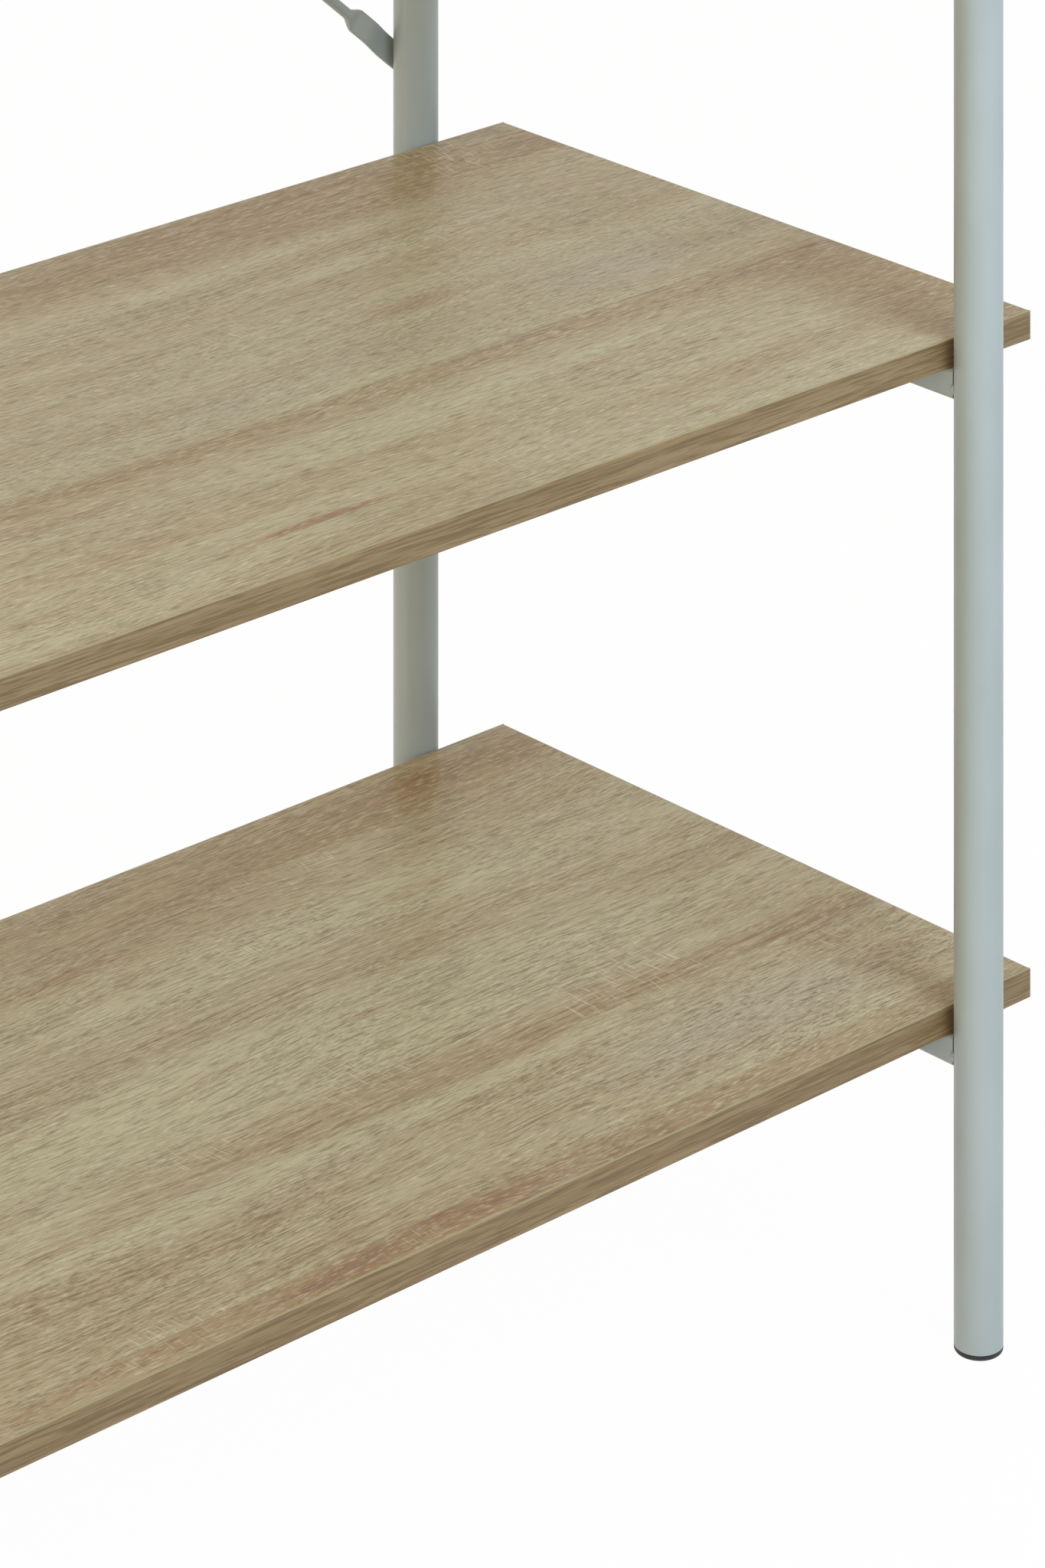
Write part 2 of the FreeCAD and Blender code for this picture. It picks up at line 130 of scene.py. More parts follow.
@dataclass(frozen=True)
class Streak:
    """One layer of drawn-out noise: its grain's size in mm, the range of noise it keeps and its strength."""

    along: float
    across: float
    through: float
    low: float
    high: float
    detail: float = 2.0
    strength: float = 1.0

    def add(self, tree: bpy.types.NodeTree, spot: bpy.types.NodeSocket) -> bpy.types.NodeSocket:
        """Adds the layer to a material.

        The spot is divided by the grain's size on each axis, noise is read there, and the range from low
        to high is drawn out smoothly from 0 to the strength.

        Args:
            tree: The material's node tree.
            spot: The point on the surface, in metres.

        Returns:
            The layer's value.
        """
        size = metres((self.along, self.across, self.through))
        drawn = add_node(tree, "ShaderNodeMapping", {"Vector": spot, "Scale": size}, vector_type="TEXTURE")
        fine = {"Scale": 1.0, "Detail": self.detail, "Roughness": NOISE_ROUGHNESS}
        noise = add_node(tree, "ShaderNodeTexNoise", {"Vector": drawn.outputs[0], **fine})
        kept = {0: noise.outputs[0], 1: self.low, 2: self.high, 3: 0.0, 4: self.strength}
        return add_node(tree, "ShaderNodeMapRange", kept, interpolation_type="SMOOTHSTEP").outputs[0]

    def turned(self) -> "Streak":
        """Gives the same layer with its grain along the depth."""
        return replace(self, along=self.across, across=self.along)


@dataclass(frozen=True)
class Bend:
    """One slow bend of the grain: the size of the bends and how far they go, on each axis in mm."""

    size: tuple[float, float, float]
    most: tuple[float, float, float]
    middle: tuple[float, float, float] = (0.5, 0.5, 0.5)

    def add(self, tree: bpy.types.NodeTree, spot: bpy.types.NodeSocket) -> bpy.types.NodeSocket:
        """Moves the spot: noise of the bends' size, less its middle, times how far they go, is added.

        Args:
            tree: The material's node tree.
            spot: The point on the surface, in metres.

        Returns:
            The moved point.
        """
        drawing = {"Vector": spot, "Scale": metres(self.size)}
        drawn = add_node(tree, "ShaderNodeMapping", drawing, vector_type="TEXTURE")
        wave = {"Vector": drawn.outputs[0], "Scale": 1.0, "Detail": 1.0}
        noise = add_node(tree, "ShaderNodeTexNoise", wave)
        evened = {0: noise.outputs[1], 1: self.middle}
        bend = add_node(tree, "ShaderNodeVectorMath", evened, operation="SUBTRACT")
        moved = {0: bend.outputs[0], 1: metres(self.most), 2: spot}
        return add_node(tree, "ShaderNodeVectorMath", moved, operation="MULTIPLY_ADD").outputs[0]


@dataclass(frozen=True)
class Grain:
    """Where a laminate's layers are read: the bent point, the same point within its plank, and the plank."""

    tree: bpy.types.NodeTree
    spot: bpy.types.NodeSocket
    own: bpy.types.NodeSocket
    plank: bpy.types.NodeSocket


@dataclass(frozen=True)
class Figure:
    """One figure of the printed grain: its middle on a board, its half sizes and its rings, sizes in mm.

    A figure with a plank's number ends at that plank's seams.
    """

    x: float
    y: float
    z: float
    reach: float
    spread: float
    strength: float
    plank: int | None = None
    rings: int = 0
    height: float = 60.0
    core: float = 0.2
    ring_range: tuple[float, float] = (-0.4, 0.8)
    breaks: Streak = Streak(5.0, 3.0, 40.0, 0.40, 0.60)

    def add(self, grain: Grain, under: bpy.types.NodeSocket) -> bpy.types.NodeSocket:
        """Adds the figure to a layer.

        Its strength falls smoothly from its middle to an ellipsoid of its half sizes, and where it has
        rings it rises and falls as a sine of the way out, broken up by noise.

        Args:
            grain: Where the layer is read.
            under: The layer so far.

        Returns:
            The sum of the two.
        """
        tree = grain.tree
        centring = {
            "Vector": grain.spot,
            "Location": metres((self.x, self.y, self.z)),
            "Scale": metres((self.reach, self.spread, self.height)),
        }
        centred = add_node(tree, "ShaderNodeMapping", centring, vector_type="TEXTURE")
        way = add_node(tree, "ShaderNodeVectorMath", {0: centred.outputs[0]}, operation="LENGTH").outputs[1]
        faded = {0: way, 1: 1.0, 2: self.core, 3: 0.0, 4: self.strength}
        shade = add_node(tree, "ShaderNodeMapRange", faded, interpolation_type="SMOOTHSTEP").outputs[0]
        parts = []
        if self.plank is not None:
            inside = {0: grain.plank, 1: float(self.plank), 2: 0.5}
            parts.append(add_node(tree, "ShaderNodeMath", inside, operation="COMPARE").outputs[0])
        if self.rings:
            turns = {0: way, 1: 2 * math.pi * self.rings}
            turn = add_node(tree, "ShaderNodeMath", turns, operation="MULTIPLY").outputs[0]
            wave = add_node(tree, "ShaderNodeMath", {0: turn}, operation="SINE").outputs[0]
            ridge = {0: wave, 1: self.ring_range[0], 2: self.ring_range[1]}
            parts.append(add_node(tree, "ShaderNodeMapRange", ridge).outputs[0])
            parts.append(self.breaks.add(tree, grain.spot))
        for part in parts:
            shade = add_node(tree, "ShaderNodeMath", {0: shade, 1: part}, operation="MULTIPLY").outputs[0]
        return add_node(tree, "ShaderNodeMath", {0: under, 1: shade}, operation="ADD").outputs[0]


@dataclass(frozen=True)
class Patches:
    """Where a layer of the print shows: the noise that lays it, and the figures that are placed in it."""

    streak: Streak
    figures: tuple[Figure, ...] = ()

    @classmethod
    def of(cls, streak: Streak, *figures: Figure) -> "Patches":
        """Puts figures in a layer of noise."""
        return cls(streak, figures)

    def add(self, grain: Grain) -> bpy.types.NodeSocket:
        """Adds the noise and the figures up, and returns their sum."""
        value = self.streak.add(grain.tree, grain.own)
        for figure in self.figures:
            value = figure.add(grain, value)
        return value


@dataclass(frozen=True)
class Layer:
    """One tone of the print: its colour, and where it shows."""

    colour: str
    patches: Patches

    def over(
        self, grain: Grain, under: Any, share: bpy.types.NodeSocket | None = None
    ) -> bpy.types.NodeSocket:
        """Lays the layer's colour over the colour so far.

        Args:
            grain: Where the layer is read.
            under: The colour so far.
            share: What the layer's strength is multiplied by, if anything.

        Returns:
            The new colour.
        """
        tree = grain.tree
        value = self.patches.add(grain)
        if share is not None:
            shared = {0: value, 1: share}
            value = add_node(tree, "ShaderNodeMath", shared, operation="MULTIPLY").outputs[0]
        mixed = {0: value, 6: under, 7: linear(self.colour)}
        return add_node(tree, "ShaderNodeMix", mixed, data_type="RGBA").outputs[2]


@dataclass(frozen=True)
class OakLaminate:
    """Oak-look melamine laminate: a printed paper pressed on chipboard with a pore-grained plate.

    The print shows planks side by side, each with broad soft bands, red-brown flames and fine lines along
    the grain, and pale saw ticks across it. The plate leaves the pores a little sunk between ridges, and the
    resin gives a satin gloss; the light glinting off the ridges is painted on as pale streaks. Pores and ticks
    are drawn about twice as wide as they are, because finer ones don't show in the render.
    """

    low_top: float = 171.0
    next_top: float = 507.5
    plank: float = 197.0
    seam_y: float = 17.0
    seam_step: float = 132.0
    seam_width: float = 1.6
    seam_strength: float = 0.24
    plank_shift: tuple[float, float, float] = (900.0, 0.0, 310.0)
    sway: Bend = Bend((60.0, 20.0, 90.0), (0.0, 3.0, 0.0))
    flow: Bend = Bend((260.0, 100.0, 90.0), (40.0, 30.0, 0.0))
    pale: str = "#cec2a0"
    tan: str = "#b1966d"
    flame: str = "#ae8762"
    heart: str = "#a07a60"
    # Colour of the painted sheen, the light off the satin resin.
    painted_sheen: str = "#c0b5a6"
    late: str = "#8a6c46"
    tick: str = "#ece2c9"
    seam: str = "#927857"
    pore: str = "#7b6342"
    # ridge is the colour of a painted highlight: light glinting off the plate's raised ridges.
    ridge: str = "#e9dec6"
    threads: Streak = Streak(13.0, 1.0, 40.0, 0.50, 0.68, 2.0, 0.52)
    ridge_glints: Streak = Streak(8.0, 0.95, 40.0, 0.49, 0.32, 2.0, 0.52)
    pores: Streak = Streak(4.5, 0.8, 40.0, 0.50, 0.68, 2.0, 0.62)
    dashes: Streak = Streak(11.0, 0.9, 40.0, 0.58, 0.70, 1.0, 0.60)
    veins: Streak = Streak(180.0, 1.1, 90.0, 0.48, 0.62, 2.0)
    saw: Streak = Streak(1.2, 15.0, 40.0, 0.58, 0.72, 1.0)
    roughness: float = 0.38
    pore_roughness: float = 0.2
    pore_depth: float = 0.08
    pore_relief: float = 0.5
    ior: float = 1.5
    specular: float = 0.35

    def tones(self) -> tuple[Layer, ...]:
        """Gives the print's tones from the ground up, with the figures of the two lower boards, and last a
        painted sheen: grey patches that stand for light off the satin resin.
        """
        low, high = self.low_top, self.next_top
        tan = Patches.of(
            Streak(330.0, 26.0, 90.0, 0.36, 0.66, 4.0, 0.50),
            Figure(250, 170, low, 420, 50, 0.60),
            Figure(120, 84, low, 380, 42, -0.50),
            Figure(150, 42, low, 460, 36, 0.12, 0),
            Figure(60, -18, low, 380, 52, -0.70, -1),
            Figure(150, -79, low, 450, 18, 0.55),
            Figure(0, -130, low, 450, 50, 0.10),
            Figure(100, -195, low, 700, 40, 0.50, -2),
            Figure(220, 168, high, 500, 50, 0.75),
            Figure(100, 0, high, 900, 300, 0.10),
            Figure(-125, -63, high, 230, 30, 0.36),
            Figure(200, -58, high, 420, 18, 0.24),
            Figure(390, -70, high, 150, 30, 0.25),
            # Painted shadow: the front right post's shade on the right front end of the second board, as a
            # darker tan.
            Figure(410, -140, high, 110, 120, 0.85),
            Figure(215, -105, high, 220, 42, -0.22),
            Figure(250, -150, high, 250, 18, 0.35),
        )
        flame = Patches.of(
            Streak(100.0, 10.0, 90.0, 0.53, 0.76, 4.0, 0.45),
            Figure(0, -190, low, 420, 30, 0.32, -2),
            Figure(-55, -190, low, 60, 12, 0.6, -2),
            Figure(40, -190, low, 70, 12, 0.5, -2),
            Figure(-200, -187, low, 130, 8, 0.40, -2),
            Figure(350, -86, low, 80, 5, 0.55),
            Figure(-150, -87, low, 100, 5, 0.45),
            Figure(30, 126, low, 70, 9, 0.35),
            Figure(320, 176, low, 90, 18, 0.45),
            Figure(230, 80, low, 45, 10, 0.35),
            Figure(-40, -161, high, 75, 5, 0.75),
            Figure(-150, -130, high, 100, 14, 0.35),
            Figure(170, 22, high, 45, 15, 0.40),
            Figure(320, 160, high, 90, 16, 0.30),
            Figure(200, 178, high, 520, 50, -0.30),
            # Takes the red out of the painted shadow of the front right post.
            Figure(400, -110, high, 130, 100, -0.35),
            Figure(110, 156, high, 45, 7, 0.45),
        )
        heart = Patches.of(
            Streak(60.0, 6.0, 90.0, 0.62, 0.80, 4.0, 0.40),
            Figure(-92, -201, low, 92, 24, 0.8, -2, 3),
            Figure(-38, -187, low, 24, 8, 0.8, -2),
            Figure(-64, -191, low, 34, 5, 0.6, -2),
            Figure(8, -182, low, 28, 6, 0.9, -2),
            Figure(44, -190, low, 44, 6, 0.6, -2),
            Figure(88, -203, low, 92, 24, 0.7, -2, 3),
            Figure(-40, -161, high, 45, 4, 0.7),
            Figure(168, 20, high, 26, 7, 0.15),
            Figure(345, -87, low, 60, 4, 0.4),
        )
        # Painted sheen: grey patches for light glinting off the satin laminate, placed on the two lower boards
        # and laid by noise elsewhere.
        painted_sheen = Patches.of(
            Streak(190.0, 44.0, 90.0, 0.56, 0.74, 3.0, 0.30),
            Figure(260, -140, low, 140, 44, 0.45),
            Figure(290, -12, high, 80, 34, 0.45),
            Figure(30, -25, high, 62, 26, 0.30),
            Figure(200, 178, high, 520, 50, -0.50),
            # Takes the grey out of the painted shadow of the front right post.
            Figure(400, -110, high, 130, 100, -0.50),
        )
        return (
            Layer(self.tan, tan),
            Layer(self.flame, flame),
            Layer(self.heart, heart),
            Layer(self.painted_sheen, painted_sheen),
        )

    def lines(self) -> Layer:
        """Gives the bands where long dark lines of late wood show."""
        low, high = self.low_top, self.next_top
        bands = Patches.of(
            Streak(260.0, 30.0, 90.0, 0.40, 0.70, 2.0, 0.50),
            Figure(100, 40, low, 420, 30, 0.45, 0),
            Figure(150, -79, low, 420, 20, 0.45),
            Figure(200, 175, low, 420, 40, 0.40),
            Figure(220, 165, high, 420, 40, 0.35),
            Figure(250, -60, high, 360, 16, 0.32, -2),
            Figure(244, -24, low, 40, 36, 0.6, None, 12),
        )
        return Layer(self.late, bands)

    def flecks(self) -> Patches:
        """Gives the patches where the pores are cut short and lie close."""
        return Patches.of(
            Streak(90.0, 30.0, 90.0, 0.30, 0.62, 2.0, 0.8),
            Figure(260, -140, self.low_top, 260, 55, 0.6),
            Figure(-120, -140, self.low_top, 200, 45, 0.4),
            Figure(150, -79, self.low_top, 420, 20, -0.5),
            Figure(250, -60, self.next_top, 360, 16, -0.5, -2),
            Figure(220, 165, self.next_top, 420, 40, -0.4),
            Figure(100, -120, self.next_top, 600, 110, -0.35),
        )

    def ticks(self) -> Layer:
        """Gives the patches where the saw's ticks show."""
        low, high = self.low_top, self.next_top
        patches = Patches.of(
            Streak(120.0, 45.0, 90.0, 0.56, 0.72, 2.0, 0.45),
            Figure(75, -60, low, 48, 34, 0.6),
            Figure(235, -72, low, 80, 32, 0.6),
            Figure(110, 85, low, 50, 18, 0.5),
            Figure(-17, -190, low, 26, 14, 0.4),
            Figure(-170, -190, low, 60, 12, 0.35),
            Figure(335, 172, high, 46, 30, 0.6),
            Figure(245, 80, high, 36, 24, 0.5),
            Figure(75, 65, high, 36, 36, 0.5),
            Figure(350, 8, high, 36, 30, 0.5),
        )
        return Layer(self.tick, patches)

    def material(self) -> bpy.types.Material:
        """Builds the laminate's node tree on Object coordinates and returns the material."""
        material = new_material("oak_look_melamine_laminate")
        tree = material.node_tree
        here = add_node(tree, "ShaderNodeTexCoord").outputs["Object"]
        plank, seam = self._planks(tree, here)
        spot = self.sway.add(tree, here)
        flow = self.flow.add(tree, spot)
        apart = {0: plank, 1: metres(self.plank_shift), 2: flow}
        own = add_node(tree, "ShaderNodeVectorMath", apart, operation="MULTIPLY_ADD").outputs[0]
        grain = Grain(tree, spot, own, plank)
        colour: Any = linear(self.pale)
        for tone in self.tones():
            colour = tone.over(grain, colour)
        colour = self.lines().over(grain, colour, self.veins.add(tree, own))
        seamed = {0: seam, 6: colour, 7: linear(self.seam)}
        colour = add_node(tree, "ShaderNodeMix", seamed, data_type="RGBA").outputs[2]
        # Painted highlight: pale streaks where light glints off the embossed ridges.
        colour = Layer(self.ridge, Patches(self.ridge_glints)).over(grain, colour)
        colour = Layer(self.pore, Patches(self.threads)).over(grain, colour)
        thick = self.flecks().add(grain)
        for streak in (self.pores, self.dashes):
            colour = Layer(self.pore, Patches(streak)).over(grain, colour, thick)
        colour = self.ticks().over(grain, colour, self.saw.add(tree, own))
        sunk = self.threads.add(tree, own)
        dulled = {0: sunk, 3: self.roughness, 4: self.roughness + self.pore_roughness}
        gloss = add_node(tree, "ShaderNodeMapRange", dulled)
        pressed = {"Height": sunk, "Strength": self.pore_relief, "Distance": self.pore_depth * MM}
        bump = add_node(tree, "ShaderNodeBump", pressed, invert=True)
        shader = add_node(
            tree,
            "ShaderNodeBsdfPrincipled",
            {
                "Base Color": colour,
                "Roughness": gloss.outputs[0],
                "IOR": self.ior,
                "Specular IOR Level": self.specular,
                "Normal": bump.outputs[0],
            },
        )
        add_node(tree, "ShaderNodeOutputMaterial", {"Surface": shader.outputs[0]})
        return material

    def _planks(
        self, tree: bpy.types.NodeTree, here: bpy.types.NodeSocket
    ) -> tuple[bpy.types.NodeSocket, bpy.types.NodeSocket]:
        """Divides the print into planks.

        A plank's number is the whole part of the depth less a seam's place, over the plank's width, and
        the seam's place goes up with the height from board to board. The seam is where the part left over
        is smaller than the seam's width.

        Args:
            tree: The material's node tree.
            here: The point on the surface, in metres.

        Returns:
            The plank's number, and the seam's strength.
        """
        lean = self.seam_step / (self.next_top - self.low_top)
        slope = (0.0, 1.0 / (self.plank * MM), -lean / (self.plank * MM))
        start = (self.seam_y - lean * self.low_top) / self.plank
        deep = add_node(tree, "ShaderNodeVectorMath", {0: here, 1: slope}, operation="DOT_PRODUCT").outputs[1]
        count = add_node(tree, "ShaderNodeMath", {0: deep, 1: start}, operation="SUBTRACT").outputs[0]
        number = add_node(tree, "ShaderNodeMath", {0: count}, operation="FLOOR").outputs[0]
        rest = add_node(tree, "ShaderNodeMath", {0: count}, operation="FRACT").outputs[0]
        near = {0: rest, 1: self.seam_width / self.plank, 2: 0.0, 3: 0.0, 4: self.seam_strength}
        seam = add_node(tree, "ShaderNodeMapRange", near, interpolation_type="SMOOTHSTEP").outputs[0]
        return number, seam


@dataclass(frozen=True)
class OakEdging:
    """Oak-look edging: a 1 mm plastic strip printed with straight grain and glued to the board's edge.

    Its lines are drawn about twice as wide as they are, because finer ones don't show in the render.
    """

    run: GrainRun
    light: str = "#9b8361"
    dark: str = "#6d5738"
    # Colour of the painted highlight on the up-turned arris.
    arris_highlight: str = "#b4a684"
    broad: Streak = Streak(160.0, 40.0, 4.0, 0.36, 0.70, 2.0, 0.45)
    close: Streak = Streak(36.0, 30.0, 1.0, 0.48, 0.61, 2.0, 0.72)
    hairs: Streak = Streak(14.0, 20.0, 0.7, 0.48, 0.70, 2.0, 0.45)
    arris_highlight_range: tuple[float, float] = (0.2, 0.7)
    hair_depth: float = 0.04
    hair_relief: float = 0.3
    roughness: float = 0.45
    ior: float = 1.5

    def material(self) -> bpy.types.Material:
        """Builds the strip's node tree, with its grain drawn out along its run, and returns the material.

        The arris along the top, where the face turns up, is painted paler: a painted highlight of the light
        from above.
        """
        material = new_material(f"oak_look_edging_{self.run.value}")
        tree = material.node_tree
        spot = add_node(tree, "ShaderNodeTexCoord").outputs["Object"]
        colour: Any = linear(self.light)
        for streak in (self.broad, self.close, self.hairs):
            laid = streak if self.run is GrainRun.ALONG_WIDTH else streak.turned()
            hair = laid.add(tree, spot)
            lined = {0: hair, 6: colour, 7: linear(self.dark)}
            colour = add_node(tree, "ShaderNodeMix", lined, data_type="RGBA").outputs[2]
        # Painted highlight: faces that turn up are lightened, as if lit from above.
        normal = add_node(tree, "ShaderNodeNewGeometry").outputs["Normal"]
        up = add_node(tree, "ShaderNodeSeparateXYZ", {0: normal}).outputs[2]
        turned_up = {0: up, 1: self.arris_highlight_range[0], 2: self.arris_highlight_range[1]}
        painted_highlight = add_node(tree, "ShaderNodeMapRange", turned_up).outputs[0]
        pale = {0: painted_highlight, 6: colour, 7: linear(self.arris_highlight)}
        colour = add_node(tree, "ShaderNodeMix", pale, data_type="RGBA").outputs[2]
        pressed = {"Height": hair, "Strength": self.hair_relief, "Distance": self.hair_depth * MM}
        sunk = add_node(tree, "ShaderNodeBump", pressed, invert=True)
        shader = add_node(
            tree,
            "ShaderNodeBsdfPrincipled",
            {
                "Base Color": colour,
                "Roughness": self.roughness,
                "IOR": self.ior,
                "Normal": sunk.outputs[0],
            },
        )
        add_node(tree, "ShaderNodeOutputMaterial", {"Surface": shader.outputs[0]})
        return material


@dataclass(frozen=True)
class Skin:
    """An even finish: a colour that drifts to a second one, gloss that drifts with it, and a fine relief."""

    name: str
    colour: str
    second: str
    drift: Streak
    roughness: float
    roughness_drift: float
    metal: bool = False
    ior: float = 1.5
    relief: Streak | None = None
    relief_strength: float = 0.0
    relief_depth: float = 0.0

    def material(self) -> bpy.types.Material:
        """Builds the finish's node tree on Object coordinates and returns the material."""
        material = new_material(self.name)
        tree = material.node_tree
        spot = add_node(tree, "ShaderNodeTexCoord").outputs["Object"]
        drift = self.drift.add(tree, spot)
        tones = {0: drift, 6: linear(self.colour), 7: linear(self.second)}
        glosses = {0: drift, 3: self.roughness, 4: self.roughness + self.roughness_drift}
        inputs: dict[int | str, Any] = {
            "Base Color": add_node(tree, "ShaderNodeMix", tones, data_type="RGBA").outputs[2],
            "Roughness": add_node(tree, "ShaderNodeMapRange", glosses).outputs[0],
        }
        if self.metal:
            inputs["Metallic"] = 1.0
        else:
            inputs["IOR"] = self.ior
        if self.relief is not None:
            raised = {
                "Height": self.relief.add(tree, spot),
                "Strength": self.relief_strength,
                "Distance": self.relief_depth * MM,
            }
            inputs["Normal"] = add_node(tree, "ShaderNodeBump", raised).outputs[0]
        shader = add_node(tree, "ShaderNodeBsdfPrincipled", inputs)
        add_node(tree, "ShaderNodeOutputMaterial", {"Surface": shader.outputs[0]})
        return material


@dataclass(frozen=True)
class PowderCoat(Skin):
    """Polyester powder coat on steel: sprayed dry and baked, a satin skin with a faint orange peel."""

    name: str = "powder_coated_steel"
    colour: str = "#b3bdc2"
    second: str = "#adb7bb"
    drift: Streak = Streak(30.0, 30.0, 90.0, 0.3, 0.7)
    roughness: float = 0.34
    roughness_drift: float = 0.06
    relief: Streak | None = Streak(1.6, 1.6, 1.6, 0.3, 0.7, 1.0)
    relief_strength: float = 0.4
    relief_depth: float = 0.012


@dataclass(frozen=True)
class ZincPlate(Skin):
    """Zinc-plated steel: rolled and cut screws, barrel-plated, so bright but clouded."""

    name: str = "zinc_plated_steel"
    colour: str = "#c9ccd0"
    second: str = "#a9adb2"
    drift: Streak = Streak(2.5, 2.5, 2.5, 0.3, 0.7, 3.0)
    roughness: float = 0.28
    roughness_drift: float = 0.18
    metal: bool = True


@dataclass(frozen=True)
class BlackPolymer(Skin):
    """Black polyethylene: injection-moulded plugs, rubbed in places, with a spark-eroded grain.

    The grain is drawn several times as coarse as it is, because it wouldn't show in the render.
    """

    name: str = "moulded_black_polyethylene"
    colour: str = "#1b1b1c"
    second: str = "#2a2a2b"
    drift: Streak = Streak(7.0, 7.0, 3.0, 0.45, 0.75)
    roughness: float = 0.48
    roughness_drift: float = -0.12
    ior: float = 1.51
    relief: Streak | None = Streak(0.8, 0.8, 0.8, 0.3, 0.7)
    relief_strength: float = 0.35
    relief_depth: float = 0.02


def surface(
    name: str,
    points: np.ndarray,
    close_rows: bool = True,
    close_columns: bool = True,
    sharp_angle: float = 40.0,
) -> bpy.types.Mesh:
    """Joins grids of points into one mesh, quad by quad.

    A quad joins the points (i, j), (i + 1, j), (i + 1, j + 1) and (i, j + 1) of a grid, and a closed
    direction goes on from its last point to its first. Doubles are merged, which closes poles and seams.

    Args:
        name: The mesh's name.
        points: Grids of points in metres, as shell, row, column and axis.
        close_rows: Whether the last row joins the first.
        close_columns: Whether the last column joins the first.
        sharp_angle: Edges that turn by more than this many degrees stay sharp.

    Returns:
        The mesh, with its faces outwards.
    """
    shells, rows, columns, _ = points.shape
    index = np.arange(shells * rows * columns).reshape(shells, rows, columns)
    if close_rows:
        index = np.concatenate([index, index[:, :1]], axis=1)
    if close_columns:
        index = np.concatenate([index, index[:, :, :1]], axis=2)
    quads = np.stack(
        [index[:, :-1, :-1], index[:, 1:, :-1], index[:, 1:, 1:], index[:, :-1, 1:]], axis=-1
    )
    mesh = bpy.data.meshes.new(name)
    mesh.from_pydata(points.reshape(-1, 3).tolist(), [], quads.reshape(-1, 4).tolist())
    work = bmesh.new()
    work.from_mesh(mesh)
    bmesh.ops.remove_doubles(work, verts=work.verts, dist=MERGE_DISTANCE)
    bmesh.ops.recalc_face_normals(work, faces=work.faces)
    work.to_mesh(mesh)
    work.free()
    mesh.shade_smooth()
    mesh.set_sharp_from_angle(angle=math.radians(sharp_angle))
    return mesh


def rounded_loop(
    half_width: float, half_height: float, radius: float, steps: int = 7, flats: int = 0
) -> np.ndarray:
    """Outlines a rectangle with rounded corners.

    Corner k is its centre plus the radius times (cos a, sin a), with a from k to k + 1 quarter turns.
    Points at even fractions of each straight side may be added after its corner.

    Args:
        half_width: Half the width.
        half_height: Half the height.
        radius: The corners' radius.
        steps: Points on each corner.
        flats: Points added on each straight side.

    Returns:
        The outline's points, as a closed loop.
    """
    turn = np.arange(4)[:, None] * np.pi / 2 + np.linspace(0.0, np.pi / 2, steps)
    signs = np.array([(1.0, 1.0), (-1.0, 1.0), (-1.0, -1.0), (1.0, -1.0)])
    centres = signs * (half_width - radius, half_height - radius)
    arcs = centres[:, None] + radius * np.stack([np.cos(turn), np.sin(turn)], axis=-1)
    starts = arcs[:, -1]
    sides = np.roll(arcs[:, 0], -1, axis=0) - starts
    part = np.linspace(0.0, 1.0, flats + 2)[1:-1]
    between = starts[:, None] + sides[:, None] * part[None, :, None]
    return np.concatenate([arcs, between], axis=1).reshape(-1, 2)


def revolve(outline: np.ndarray, centre: tuple[float, float], rounds: int) -> np.ndarray:
    """Carries an outline of radii and heights round an upright axis.

    A point is the centre plus its radius times (cos t, sin t), at its own height, with t round a turn.

    Args:
        outline: Radii and heights, in metres.
        centre: The axis' place in X and Y.
        rounds: Points in a full turn.

    Returns:
        One grid of points, for surface().
    """
    turn = np.linspace(0.0, 2 * np.pi, rounds, endpoint=False)
    x = centre[0] + np.outer(np.cos(turn), outline[:, 0])
    y = centre[1] + np.outer(np.sin(turn), outline[:, 0])
    z = np.broadcast_to(outline[:, 1], x.shape)
    return np.stack([x, y, z], axis=-1)[None]


def place(
    name: str,
    mesh: bpy.types.Mesh,
    material: bpy.types.Material,
    slot: str,
    stands_for: tuple[str, ...],
) -> bpy.types.Object:
    """slot: Not used. The record's material slot.
        stands_for: The CAD nodes that it replaces.

    Returns:
        The piece.
    """
    piece = bpy.data.objects.new(name, mesh)
    bpy.context.scene.collection.objects.link(piece)
    mesh.materials.append(material)
    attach(piece, "root")
    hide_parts(*stands_for)
    LOG.info("%s: %d faces", name, len(mesh.polygons))
    return piece


def even_flats(piece: bpy.types.Object) -> None:
    """Weights a piece's normals by face area, so that its flat sides stay flat beside their rounded edges."""
    piece.modifiers.new("even_flats", "WEIGHTED_NORMAL").keep_sharp = True


def bore(piece: bpy.types.Object, grid: np.ndarray) -> None:
    """Cuts closed round holes through a piece, and keeps the cut mesh.

    Args:
        piece: The piece to bore.
        grid: The drills, as closed grids of points.
    """
    drill = bpy.data.objects.new("drill", surface("drill", grid, True, False))
    bpy.context.scene.collection.objects.link(drill)
    cut = piece.modifiers.new("bore", "BOOLEAN")
    cut.object = drill
    cut.solver = "EXACT"
    seen = piece.evaluated_get(bpy.context.evaluated_depsgraph_get())
    mesh = bpy.data.meshes.new_from_object(seen)
    piece.modifiers.clear()
    piece.data = mesh
    bpy.data.objects.remove(drill)


def dress(node: str, material: bpy.types.Material) -> None:
    """Gives a CAD node that keeps its own shape its finish."""
    piece = NODES[node]
    piece.data.materials.clear()
    piece.data.materials.append(material)
    LOG.info("%s: CAD shape, %s", node, material.name)


